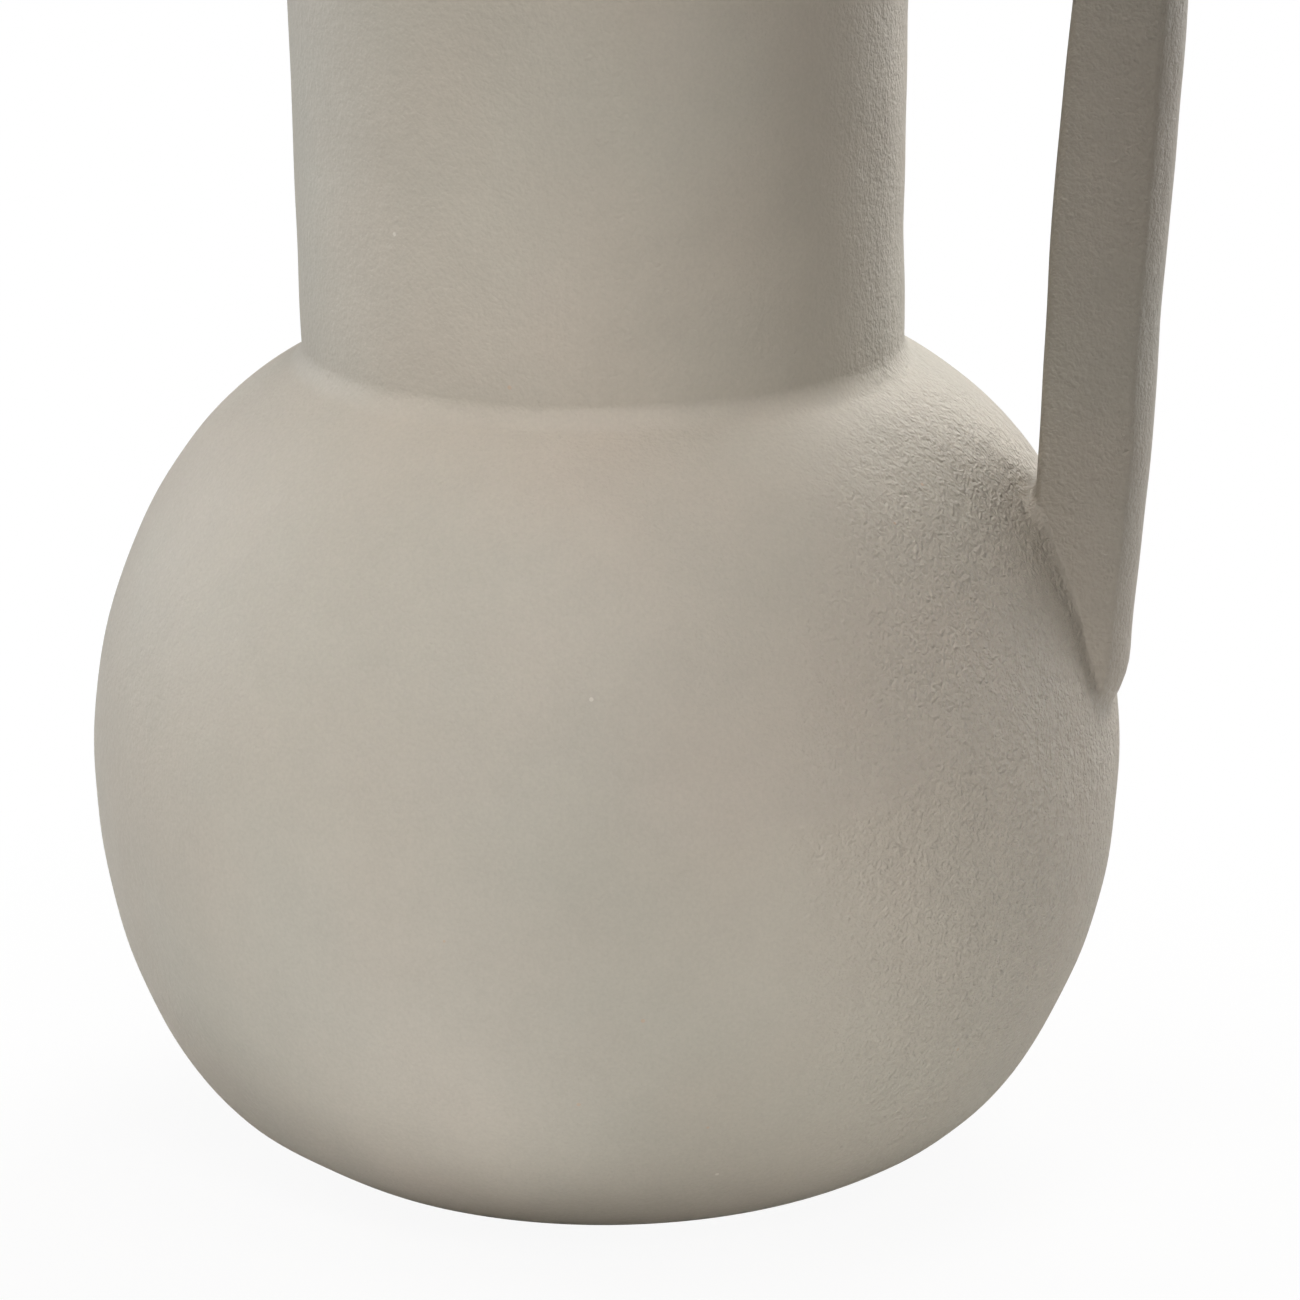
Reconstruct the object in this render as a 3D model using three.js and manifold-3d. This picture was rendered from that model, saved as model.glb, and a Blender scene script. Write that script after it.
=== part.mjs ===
// One-handled stoneware jug vase, in millimetres. It stands on z = 0 with its axis on Z
// and its handle towards +X. Each piece is one solid, as it leaves the potter's bench.
import * as THREE from "three";
import { mergeVertices } from "three/addons/utils/BufferGeometryUtils.js";
import Module from "manifold-3d";

const wasm = await Module();
wasm.setup();

// Body
const vaseHeight = 300;
const bellyRadius = 95;      // at the widest
const footRadius = 44;       // flat that the vase stands on
const neckRadius = 55.5;     // outside, where the neck meets the shoulder
const neckFlare = 0.74;      // degrees that the neck opens on each side
const wallThickness = 5;
const floorThickness = 6;

// The belly's outline is a chain of tangent arcs. Each one ends where the surface has tilted
// that many degrees above or below level, and the last one ends at the neck or the foot.
const shoulderArcs = [
  { endTilt: 15, radius: 105.5 },
  { endTilt: 35, radius: 85.5 },
  { endTilt: 88, radius: 67.5 },
];
const undersideArcs = [
  { endTilt: -15, radius: 114 },
  { endTilt: -35, radius: 90 },
  { endTilt: -55, radius: 44.7 },
  { endTilt: -88, radius: 68 },
];

// Joint between belly and neck
const tongueWidth = 1.8;
const tongueHeight = 3;
const neckSeamLeg = 3.5;     // how far the joining slip reaches up the neck and out on the belly

// Handle
const handleThickness = 20;  // towards the neck
const handleWidth = 21;      // round the vase
const handleCorner = 3.5;    // radius of its four long edges
const handleLean = 4.3;      // degrees that it leans outwards
const handleStandOut = 3.8;  // outer face beyond the belly's widest, where the heel begins
const heelRise = 24;         // start of the heel above the belly's widest
const armDrop = 28;          // middle of the upper arm below the rim
const elbowRadius = 30;      // of the handle's middle line
const seamLegInside = 5.5;   // joining slip on the side that faces the neck
const seamLegOutside = 2.5;  // joining slip under the heel and over the arm

// Glaze
const glazeThickness = 0.5;
const glazeBelowRim = 5;

const clearance = 0.3;       // between neighbours that are turned or cut to fit
const turnSteps = 48;
const arcStep = 10;          // degrees
const rimSteps = 6;
const elbowSteps = 9;
const heelSteps = 9;
const edgeSteps = 5;         // round each rounded long edge of the handle
const flatStep = 2.5;        // greatest distance between points across the handle's flat sides
const hollowSteps = 4;       // across the hollow of a slip joint

const toRadians = THREE.MathUtils.degToRad;
const flareSlope = Math.tan(toRadians(neckFlare));

// The arcs with their centres, starting at the widest. Heights are from the widest here.
function placeArcs(arcs) {
  let tilt = 0;
  let centreRadius = bellyRadius - arcs[0].radius;
  let centreHeight = 0;
  return arcs.map((arc, i) => {
    if (i > 0) {
      const change = arcs[i - 1].radius - arc.radius;
      centreRadius += change * Math.cos(tilt);
      centreHeight += change * Math.sin(tilt);
    }
    const placed = { from: tilt, to: toRadians(arc.endTilt), radius: arc.radius, centreRadius, centreHeight };
    tilt = placed.to;
    return placed;
  });
}

const placedShoulder = placeArcs(shoulderArcs);
const placedUnderside = placeArcs(undersideArcs);

// Points along a chain of arcs, moved outwards by an offset, as far in as a stated radius.
function chainPoints(placed, offset, stopRadius) {
  const points = [];
  for (const arc of placed) {
    const radius = arc.radius + offset;
    const radiusAt = (angle) => arc.centreRadius + radius * Math.cos(angle);
    const last = radiusAt(arc.to) < stopRadius;
    const stopTilt = Math.acos((stopRadius - arc.centreRadius) / radius) * Math.sign(arc.to);
    const end = last ? stopTilt : arc.to;
    const steps = Math.max(1, Math.round(Math.abs(end - arc.from) / toRadians(arcStep)));
    for (let i = points.length ? 1 : 0; i <= steps; i++) {
      const angle = THREE.MathUtils.lerp(arc.from, end, i / steps);
      points.push(new THREE.Vector2(radiusAt(angle), arc.centreHeight + radius * Math.sin(angle)));
    }
    if (last) break;
  }
  return points;
}

const widestHeight = -chainPoints(placedUnderside, 0, footRadius).at(-1).y;
const seatHeight = widestHeight + chainPoints(placedShoulder, 0, neckRadius).at(-1).y;
const neckRadiusAt = (height) => neckRadius + flareSlope * (height - seatHeight);
const boreRadius = neckRadius - wallThickness;
const boreRadiusAt = (height) => neckRadiusAt(height) - wallThickness;

// The belly's outline from the foot up to a stated radius on the shoulder, offset outwards.
function bellyOutline(offset, lowRadius, highRadius) {
  const below = chainPoints(placedUnderside, offset, lowRadius).reverse();
  const above = chainPoints(placedShoulder, offset, highRadius).slice(1);
  return [...below, ...above].map((p) => new THREE.Vector2(p.x, p.y + widestHeight));
}

// Inside of the belly: the outline offset inwards, closed by a flat floor.
function cavityOutline(inset, floor, mouthRadius) {
  const outline = bellyOutline(-inset, footRadius / 2, mouthRadius);
  const first = outline.findIndex((p) => p.y > floor);
  const share = (floor - outline[first - 1].y) / (outline[first].y - outline[first - 1].y);
  const corner = outline[first - 1].clone().lerp(outline[first], share);
  return [corner, ...outline.slice(first)];
}

// Distance of a point outside the belly's outer face, and the face's own direction there.
function bellyFace(point) {
  const radius = Math.hypot(point.x, point.y);
  const height = point.z - widestHeight;
  const chain = height >= 0 ? placedShoulder : placedUnderside;
  const tiltOn = (arc) => Math.atan2(height - arc.centreHeight, radius - arc.centreRadius);
  const arc = chain.find((a) => Math.abs(tiltOn(a)) <= Math.abs(a.to)) ?? chain.at(-1);
  const tilt = tiltOn(arc);
  const reach = Math.hypot(radius - arc.centreRadius, height - arc.centreHeight);
  const out = Math.cos(tilt) / radius;
  return {
    distance: reach - arc.radius,
    normal: new THREE.Vector3(point.x * out, point.y * out, Math.sin(tilt)),
  };
}

// The same for the neck's outer face, which is a cone.
function neckFace(point) {
  const radius = Math.hypot(point.x, point.y);
  const cosine = Math.cos(toRadians(neckFlare));
  return {
    distance: (radius - neckRadiusAt(point.z)) * cosine,
    normal: new THREE.Vector3(point.x / radius, point.y / radius, -flareSlope).normalize(),
  };
}

function turned(profile) {
  return new THREE.LatheGeometry(profile, turnSteps).rotateX(Math.PI / 2);
}

// A closed skin over rings of points. With caps, the first and last rings are closed by fans;
// without them the last ring joins the first.
function skinned(rings, capped) {
  const count = rings[0].length;
  const corners = rings.flat();
  const faces = [];
  const span = capped ? rings.length - 1 : rings.length;
  for (let i = 0; i < span; i++) {
    const next = (i + 1) % rings.length;
    for (let j = 0; j < count; j++) {
      const k = (j + 1) % count;
      const [a, b, c, d] = [i * count + j, i * count + k, next * count + k, next * count + j];
      faces.push(a, c, b, a, d, c);
    }
  }
  if (capped) {
    const end = (rings.length - 1) * count;
    for (let j = 1; j < count - 1; j++) {
      faces.push(0, j, j + 1, end, end + j + 1, end + j);
    }
  }
  const geometry = new THREE.BufferGeometry();
  const coordinates = corners.flatMap((p) => [p.x, p.y, p.z]);
  geometry.setAttribute("position", new THREE.Float32BufferAttribute(coordinates, 3));
  geometry.setIndex(faces);
  return geometry;
}

function toSolid(geometry) {
  const plain = geometry.clone();
  plain.deleteAttribute("normal");
  plain.deleteAttribute("uv");
  const merged = mergeVertices(plain, 1e-4);
  const vertProperties = new Float32Array(merged.attributes.position.array);
  const triVerts = new Uint32Array(merged.index.array);
  return new wasm.Manifold(new wasm.Mesh({ numProp: 3, vertProperties, triVerts }));
}

function toGeometry(solid) {
  const mesh = solid.getMesh();
  const geometry = new THREE.BufferGeometry();
  geometry.setAttribute("position", new THREE.BufferAttribute(mesh.vertProperties, 3));
  geometry.setIndex(new THREE.BufferAttribute(mesh.triVerts, 1));
  geometry.computeVertexNormals();
  return geometry;
}

// Middle of the wall at the joint, where the tongue stands and the groove fits over it.
const jointMiddle = neckRadius - wallThickness / 2;

function bellyShape() {
  const outside = bellyOutline(0, footRadius, neckRadius);
  const inside = cavityOutline(wallThickness, floorThickness, boreRadius);
  const half = tongueWidth / 2;
  const seat = [
    [jointMiddle + half, seatHeight],
    [jointMiddle + half, seatHeight + tongueHeight],
    [jointMiddle - half, seatHeight + tongueHeight],
    [jointMiddle - half, seatHeight],
    [boreRadius, seatHeight],
  ].map(([radius, height]) => new THREE.Vector2(radius, height));
  const floor = new THREE.Vector2(0, floorThickness);
  return turned([new THREE.Vector2(0, 0), ...outside, ...seat, ...inside.reverse(), floor]);
}

function neckShape() {
  const half = tongueWidth / 2 + clearance;
  const groove = seatHeight + tongueHeight + clearance;
  const lip = wallThickness / 2;
  const lipHeight = vaseHeight - lip;
  const lipMiddle = neckRadiusAt(lipHeight) - lip;
  const rim = [];
  for (let i = 0; i <= rimSteps; i++) {
    const turn = (Math.PI * i) / rimSteps;
    rim.push([lipMiddle + lip * Math.cos(turn), lipHeight + lip * Math.sin(turn)]);
  }
  const profile = [
    [jointMiddle + half, seatHeight],
    [neckRadius, seatHeight],
    ...rim,
    [boreRadius, seatHeight],
    [jointMiddle - half, seatHeight],
    [jointMiddle - half, groove],
    [jointMiddle + half, groove],
    [jointMiddle + half, seatHeight],
  ];
  return turned(profile.map(([radius, height]) => new THREE.Vector2(radius, height)));
}

// Slip worked into the crease between two faces: along one face, round a hollow curve to the
// other, and back through the crease. The curve is a cubic that leaves each face along it.
const hollowPull = 0.6;
function creaseSection(onFirst, crease, onSecond) {
  const first = onFirst.clone().lerp(crease, hollowPull);
  const second = onSecond.clone().lerp(crease, hollowPull);
  const CubicCurve = crease.isVector3 ? THREE.CubicBezierCurve3 : THREE.CubicBezierCurve;
  const hollow = new CubicCurve(onFirst, first, second, onSecond);
  return [...hollow.getPoints(hollowSteps), crease];
}

function neckSeamShape() {
  const onBelly = bellyOutline(clearance, footRadius, neckRadius + clearance);
  const crease = onBelly.at(-1);
  const { centreRadius, radius } = placedShoulder.at(-1);
  const tilt = Math.acos((crease.x - centreRadius) / (radius + clearance));
  const downhill = new THREE.Vector2(Math.sin(tilt), -Math.cos(tilt));
  const onShoulder = crease.clone().addScaledVector(downhill, neckSeamLeg);
  const onNeck = new THREE.Vector2(crease.x + flareSlope * neckSeamLeg, crease.y + neckSeamLeg);
  const section = creaseSection(onShoulder, crease, onNeck);
  return turned([...section, section[0].clone()]);
}

// Middle line of the handle in the plane of the vase's axis, from inside the neck to inside the
// belly: the arm, the elbow, the long bar and the heel, which turns about the bar's inner face.
const lean = toRadians(handleLean);
const barOut = new THREE.Vector2(Math.cos(lean), -Math.sin(lean));
const heelRadius = handleThickness / 2 + clearance;
const heelTopRadius = bellyRadius + handleStandOut - handleThickness / 2;
const heelTop = new THREE.Vector2(heelTopRadius, widestHeight + heelRise);
const heelCentre = heelTop.clone().addScaledVector(barOut, -heelRadius);
const armHeight = vaseHeight - armDrop;
const barTopHeight = armHeight - elbowRadius * (1 + Math.sin(lean));
const barTopRadius = heelTop.x + (barTopHeight - heelTop.y) * Math.tan(lean);
const elbowCentre = new THREE.Vector2(barTopRadius, barTopHeight).addScaledVector(barOut, -elbowRadius);

function handlePath() {
  const stations = [];
  const addArc = (centre, radius, from, to, steps) => {
    for (let i = 0; i <= steps; i++) {
      const angle = THREE.MathUtils.lerp(from, to, i / steps);
      const out = new THREE.Vector2(Math.cos(angle), Math.sin(angle));
      stations.push({ at: centre.clone().addScaledVector(out, radius), out });
    }
  };
  const up = new THREE.Vector2(0, 1);
  const down = new THREE.Vector2(0, -1);
  stations.push({ at: new THREE.Vector2(boreRadius, armHeight), out: up });
  addArc(elbowCentre, elbowRadius, Math.PI / 2, -lean, elbowSteps);
  addArc(heelCentre, heelRadius, -lean, -Math.PI / 2, heelSteps);
  const end = new THREE.Vector2(heelCentre.x - handleThickness, heelCentre.y - heelRadius);
  stations.push({ at: end, out: down });
  return stations;
}

// The bar's section: a rectangle with rounded corners, as points and outward directions. The flat
// sides are divided too, so that the slip round the handle's ends follows the belly closely.
function barSection() {
  const section = [];
  const across = handleThickness / 2 - handleCorner;
  const along = handleWidth / 2 - handleCorner;
  const centres = [[across, along], [-across, along], [-across, -along], [across, -along]];
  for (let corner = 0; corner < 4; corner++) {
    for (let i = 0; i <= edgeSteps; i++) {
      const turn = (corner + i / edgeSteps) * Math.PI / 2;
      const out = [Math.cos(turn), Math.sin(turn)];
      section.push({ at: centres[corner].map((value, axis) => value + handleCorner * out[axis]), out });
    }
    const { at, out } = section.at(-1);
    const next = centres[(corner + 1) % 4];
    const flat = centres[corner].map((value, axis) => next[axis] - value);
    const steps = Math.ceil(Math.hypot(...flat) / flatStep);
    for (let i = 1; i < steps; i++) {
      section.push({ at: at.map((value, axis) => value + (flat[axis] * i) / steps), out });
    }
  }
  return section;
}

// A point of the bar: one of its section's points, moved out by an offset, at a station.
function barPoint(station, place, offset) {
  const across = place.at[0] + offset * place.out[0];
  const along = place.at[1] + offset * place.out[1];
  const { at, out } = station;
  return new THREE.Vector3(at.x + across * out.x, along, at.y + across * out.y);
}

const stations = handlePath();
const barTop = 1 + elbowSteps;   // stations at the two ends of the long bar
const barFoot = barTop + 1;
const section = barSection();

function handleShape() {
  const bar = skinned(stations.map((station) => section.map((place) => barPoint(station, place, 0))), true);
  const shoulder = bellyOutline(clearance, footRadius, neckRadius + clearance);
  const aboveRim = vaseHeight + clearance;
  const bulk = turned([
    new THREE.Vector2(0, shoulder[0].y),
    ...shoulder,
    new THREE.Vector2(neckRadiusAt(aboveRim) + clearance, aboveRim),
    new THREE.Vector2(0, aboveRim),
  ]);
  return toGeometry(toSolid(bar).subtract(toSolid(bulk)));
}

// Where one line along the bar, followed from a station of the bar, comes within the clearance
// of a face, with the line so far and the section's outward direction there.
function meetFace(face, place, start, step) {
  const line = [];
  let i = start;
  const pointOf = (station) => barPoint(station, place, clearance);
  const isClear = (point) => face(point).distance > clearance;
  while (isClear(pointOf(stations[i + step]))) {
    line.push(pointOf(stations[i]));
    i += step;
  }
  line.push(pointOf(stations[i]));
  const between = (share) => ({
    at: stations[i].at.clone().lerp(stations[i + step].at, share),
    out: stations[i].out.clone().lerp(stations[i + step].out, share),
  });
  let clear = 0;
  let reached = 1;
  for (let halving = 0; halving < 30; halving++) {
    const middle = (clear + reached) / 2;
    if (isClear(pointOf(between(middle)))) clear = middle;
    else reached = middle;
  }
  const { out } = between(clear);
  const crease = pointOf(between(clear));
  const outward = new THREE.Vector3(place.out[0] * out.x, place.out[1], place.out[0] * out.y);
  return { crease, outward, line: [...line, crease] };
}

// Slip round one end of the handle, wider on the side towards the hand's gap.
function handleSeamShape(face, start, step) {
  const rings = section.map((place) => {
    const { crease, outward, line } = meetFace(face, place, start, step);
    const path = new THREE.CurvePath();
    for (let i = 1; i < line.length; i++) path.add(new THREE.LineCurve3(line[i - 1], line[i]));
    const leg = THREE.MathUtils.lerp(seamLegOutside, seamLegInside, (1 - place.out[0]) / 2);
    const onBar = path.getPointAt(1 - leg / path.getLength());
    const { normal } = face(crease);
    const slide = outward.addScaledVector(normal, -outward.dot(normal)).normalize();
    const onFace = crease.clone().addScaledVector(slide, leg);
    const there = face(onFace);
    onFace.addScaledVector(there.normal, clearance - there.distance);
    const ring = creaseSection(onBar, crease, onFace);
    return step > 0 ? ring.reverse() : ring;
  });
  return skinned(rings, false);
}

function glazeShape() {
  const far = clearance;
  const near = clearance + glazeThickness;
  const top = vaseHeight - glazeBelowRim;
  const side = (inset) => [
    ...cavityOutline(wallThickness + inset, floorThickness + inset, boreRadius - inset),
    new THREE.Vector2(boreRadius - inset, seatHeight),
    new THREE.Vector2(boreRadiusAt(top) - inset, top),
  ];
  const outer = side(far);
  const inner = side(near).reverse();
  return turned([new THREE.Vector2(0, outer[0].y), ...outer, ...inner, new THREE.Vector2(0, inner.at(-1).y)]);
}

function clay(color, roughness) {
  return new THREE.MeshStandardMaterial({ color, roughness, metalness: 0 });
}

function piece(name, geometry, material) {
  const mesh = new THREE.Mesh(geometry, material);
  mesh.name = name;
  return mesh;
}

const vase = new THREE.Group();
vase.add(
  piece("belly", bellyShape(), clay("#b3a999", 0.9)),
  piece("neck", neckShape(), clay("#b1a797", 0.9)),
  piece("handle", handleShape(), clay("#aea494", 0.9)),
  piece("neck_seam", neckSeamShape(), clay("#ada393", 0.92)),
  piece("handle_lower_seam", handleSeamShape(bellyFace, barTop, 1), clay("#ada393", 0.92)),
  piece("handle_upper_seam", handleSeamShape(neckFace, barFoot, -1), clay("#ada393", 0.92)),
  piece("glaze_lining", glazeShape(), clay("#a79d8e", 0.25)),
);

export default vase;
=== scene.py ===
import math

import bpy
import numpy as np
from mathutils import Matrix, Vector


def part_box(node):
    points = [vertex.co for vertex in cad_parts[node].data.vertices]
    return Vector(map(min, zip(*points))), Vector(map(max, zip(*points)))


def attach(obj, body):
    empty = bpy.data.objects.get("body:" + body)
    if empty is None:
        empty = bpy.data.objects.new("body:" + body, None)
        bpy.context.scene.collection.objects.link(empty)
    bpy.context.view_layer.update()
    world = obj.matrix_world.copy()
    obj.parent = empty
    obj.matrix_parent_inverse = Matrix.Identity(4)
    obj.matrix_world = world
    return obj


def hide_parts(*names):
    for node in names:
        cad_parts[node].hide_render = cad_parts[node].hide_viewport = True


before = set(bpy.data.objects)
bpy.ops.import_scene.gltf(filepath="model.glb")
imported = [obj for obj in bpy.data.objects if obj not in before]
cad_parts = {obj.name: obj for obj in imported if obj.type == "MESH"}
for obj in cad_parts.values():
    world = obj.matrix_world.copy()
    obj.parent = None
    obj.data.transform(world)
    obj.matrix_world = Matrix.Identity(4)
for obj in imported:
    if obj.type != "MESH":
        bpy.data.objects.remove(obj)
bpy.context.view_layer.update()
print("frame loaded:", sorted(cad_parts))

mm = 0.001
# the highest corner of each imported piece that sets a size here
bellyHigh, neckHigh, glazeHigh = [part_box(node)[1] for node in ("belly", "neck", "glaze_lining")]


# Mesh helpers

# Rings of points, each ring going round once, skinned with quads. A pole closes an open end with a
# fan of triangles. With loop, the last ring joins the first. Faces point to the right of the way
# that the rings advance when each ring runs anticlockwise, and flip turns them over.
def skinRings(name, rings, startPole=None, endPole=None, loop=False, flip=False):
    rows, around = rings.shape[:2]
    verts = rings.reshape(-1, 3)
    index = np.arange(rows * around).reshape(rows, around)
    upper = np.roll(index, -1, axis=0) if loop else index[1:]
    lower = index if loop else index[:-1]
    quads = np.stack([lower, np.roll(lower, -1, 1), np.roll(upper, -1, 1), upper], -1).reshape(-1, 4)
    tris = []
    if startPole is not None:
        verts = np.vstack([verts, startPole])
        first = index[0]
        tris.append(np.stack([np.roll(first, -1), first, np.full(around, len(verts) - 1)], -1))
    if endPole is not None:
        verts = np.vstack([verts, endPole])
        last = index[-1]
        tris.append(np.stack([last, np.roll(last, -1), np.full(around, len(verts) - 1)], -1))
    faces = quads.tolist() + [t for block in tris for t in block.tolist()]
    if flip:
        faces = [f[::-1] for f in faces]
    mesh = bpy.data.meshes.new(name)
    mesh.from_pydata(verts.tolist(), [], faces)
    mesh.polygons.foreach_set("use_smooth", np.ones(len(faces), bool))
    mesh.update()
    obj = bpy.data.objects.new(name, mesh)
    bpy.context.scene.collection.objects.link(obj)
    return obj


def smoothStep(value):
    t = np.clip(value, 0, 1)
    return t * t * (3 - 2 * t)


def unit(vectors):
    return vectors / np.linalg.norm(vectors, axis=-1, keepdims=True)


# The clay's own form

vaseForm = {
    "bellyRadius": bellyHigh.x,
    "neckRadius": 55.5 * mm,         # outside, at the shoulder
    "neckFlare": 0.74,               # degrees
    "wall": 5 * mm,
    "footRadius": 44 * mm,
    "footEdge": 3 * mm,              # rounding between the flat foot and the underside
    "arcs": [                        # from this tilt of the surface upwards, and the radius there
        (-90, 68 * mm), (-55, 44.7 * mm), (-35, 90 * mm), (-15, 114 * mm),
        (0, 105.5 * mm), (15, 85.5 * mm), (35, 67.5 * mm),
    ],
    "arcBlend": 5,                   # degrees over which one radius runs into the next
    "tilts": (-90, 88, 2849),        # first tilt, last tilt, number of points between them
}


# The belly's outline by the tilt of its surface: radius and height are the running sums of the
# arc radius times minus sine and cosine of the tilt, starting at the widest point.
def buildOutline(form):
    tilt = np.radians(np.linspace(*form["tilts"]))
    step = tilt[1] - tilt[0]
    starts = np.radians([a[0] for a in form["arcs"]])
    radii = np.array([a[1] for a in form["arcs"]])
    arcRadius = radii[np.searchsorted(starts, tilt, side="right") - 1]
    reach = int(math.radians(form["arcBlend"]) / step)
    window = np.hanning(2 * reach + 1)
    padded = np.pad(arcRadius, reach, mode="edge")
    arcRadius = np.convolve(padded, window / window.sum(), mode="valid")
    middle = (arcRadius[1:] + arcRadius[:-1]) / 2
    half = (tilt[1:] + tilt[:-1]) / 2
    radius = np.concatenate([[0], np.cumsum(-middle * np.sin(half) * step)])
    height = np.concatenate([[0], np.cumsum(middle * np.cos(half) * step)])
    widest = np.argmin(np.abs(tilt))
    radius += form["bellyRadius"] - radius[widest]
    height -= height[widest]
    foot = np.argmin(np.abs(radius[:widest] - form["footRadius"]))
    height -= height[foot]
    return {"tilt": tilt, "radius": radius, "height": height, "widest": widest, "foot": foot}


outline = buildOutline(vaseForm)
shoulderPart = slice(outline["widest"], None)
fromSeat = np.abs(outline["radius"][shoulderPart] - vaseForm["neckRadius"])
seatIndex = outline["widest"] + np.argmin(fromSeat)
seatHeight = outline["height"][seatIndex]
widestHeight = outline["height"][outline["widest"]]
flareSlope = math.tan(math.radians(vaseForm["neckFlare"]))
print(f"outline: widest at {widestHeight / mm:.1f} mm, neck seat at {seatHeight / mm:.1f} mm")


def neckRadiusAt(height):
    return vaseForm["neckRadius"] + flareSlope * (height - seatHeight)


perpendicular = {
    "rounds": 6,
    "step": 0.8,                     # share of the way that each round goes
}


# Signed distance outside the belly's outer face and the face's direction. The height on the outline
# starts at the point's own and moves, round by round, along the outline's tangent to the foot of the
# perpendicular. The distance is the gap between point and foot, taken along the face's direction.
def bellyFace(points):
    x, y = points[..., 0], points[..., 1]
    radial = np.hypot(x, y)
    height = points[..., 2].copy()
    for _ in range(perpendicular["rounds"]):
        tilt = np.interp(height, outline["height"], outline["tilt"])
        onRadius = np.interp(height, outline["height"], outline["radius"])
        gapR, gapZ = radial - onRadius, points[..., 2] - height
        along = -gapR * np.sin(tilt) + gapZ * np.cos(tilt)
        height = height + perpendicular["step"] * along * np.cos(tilt)
    tilt = np.interp(height, outline["height"], outline["tilt"])
    onRadius = np.interp(height, outline["height"], outline["radius"])
    distance = (radial - onRadius) * np.cos(tilt) + (points[..., 2] - height) * np.sin(tilt)
    normal = np.stack([x / radial * np.cos(tilt), y / radial * np.cos(tilt), np.sin(tilt)], -1)
    return distance, normal


# The same for the neck, a cone: the level gap times the cosine of the flare.
def neckFace(points):
    x, y = points[..., 0], points[..., 1]
    radial = np.hypot(x, y)
    cosine = 1 / math.hypot(1, flareSlope)
    distance = (radial - neckRadiusAt(points[..., 2])) * cosine
    down = np.full_like(x, -flareSlope * cosine)
    normal = np.stack([x / radial * cosine, y / radial * cosine, down], -1)
    return distance, normal


unevenness = {
    "seed": 7,
    "waves": 26,
    "longest": 95 * mm,
    "shortest": 11 * mm,
    "height": 0.16 * mm,             # of the longest waves
    "fall": 1.15,                    # shorter waves are lower by this power of their length
    "directions": (1, 1, 0.7),       # spread of the waves' directions along X, Y and Z
}


# The slight unevenness that hands leave: a sum of sines along random directions, the shorter the
# lower.
def handWaves(points):
    rng = np.random.default_rng(unevenness["seed"])
    total = np.zeros(points.shape[:-1])
    spread = math.log(unevenness["longest"] / unevenness["shortest"])
    for i in range(unevenness["waves"]):
        length = unevenness["shortest"] * math.exp(spread * (i + 0.5) / unevenness["waves"])
        direction = unit(rng.normal(size=3) * unevenness["directions"])
        phase = rng.uniform(0, 2 * math.pi)
        high = unevenness["height"] * (length / unevenness["longest"]) ** unevenness["fall"]
        total += high * np.sin(points @ direction * (2 * math.pi / length) + phase)
    return total


# A turned surface: profile points (radius, height) carried round the axis, with the hand's
# unevenness along the profile's normal where uneven is 1.
def turnProfile(profile, around, uneven=None):
    profile = np.asarray(profile)
    angle = np.linspace(0, 2 * math.pi, around, endpoint=False)
    radius, height = profile[:, 0, None], profile[:, 1, None]
    run = np.gradient(profile, axis=0)
    normal = unit(np.stack([run[:, 1], -run[:, 0]], -1))
    rings = np.stack([
        radius * np.cos(angle),
        radius * np.sin(angle),
        np.broadcast_to(height, (len(profile), around)),
    ], -1)
    if uneven is not None:
        lift = handWaves(rings) * np.asarray(uneven)[:, None]
        rings = rings + np.stack([
            lift * normal[:, 0, None] * np.cos(angle),
            lift * normal[:, 0, None] * np.sin(angle),
            lift * normal[:, 1, None],
        ], -1)
    return rings


# The sum of sines that run round the axis: each has a number of waves in a round, a share of the
# height and the angle at which it starts.
def roundWaves(rings, waves):
    angle = np.arctan2(rings[..., 1], rings[..., 0])
    return sum(share * np.sin(count * angle + start) for count, share, start in waves)


# Points of an outline resampled so that neighbours lie about one spacing apart.
def evenSpacing(profile, spacing):
    profile = np.asarray(profile)
    length = np.concatenate([[0], np.cumsum(np.linalg.norm(np.diff(profile, axis=0), axis=1))])
    count = max(2, int(math.ceil(length[-1] / spacing)) + 1)
    at = np.linspace(0, length[-1], count)
    return np.stack([np.interp(at, length, profile[:, k]) for k in range(2)], -1)


def arcPoints(centre, radius, fromDegrees, toDegrees, count):
    angle = np.radians(np.linspace(fromDegrees, toDegrees, count))
    return np.stack([centre[0] + radius * np.cos(angle), centre[1] + radius * np.sin(angle)], -1)


# Belly

bellyLook = {
    "spacing": 1.5 * mm,
    "innerSpacing": 4.5 * mm,
    "around": 400,
    "floor": 6 * mm,                 # height of the floor's upper face
    "floorRings": 10,
    "footRings": 39,
    "footHollow": 0.4 * mm,          # how far the middle of the foot is scraped up
    "footRim": 9 * mm,               # width of the ring that the vase stands on
    "rimSlope": 0.2,                 # share of that width over which the foot rises to its hollow
    "edgeStart": 0.12,               # the side starts this share of the foot's rounding up
    "edgePoints": 8,
    "evenBelow": (1 * mm, 9 * mm),   # the unevenness grows from none to full between these heights
}


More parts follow.
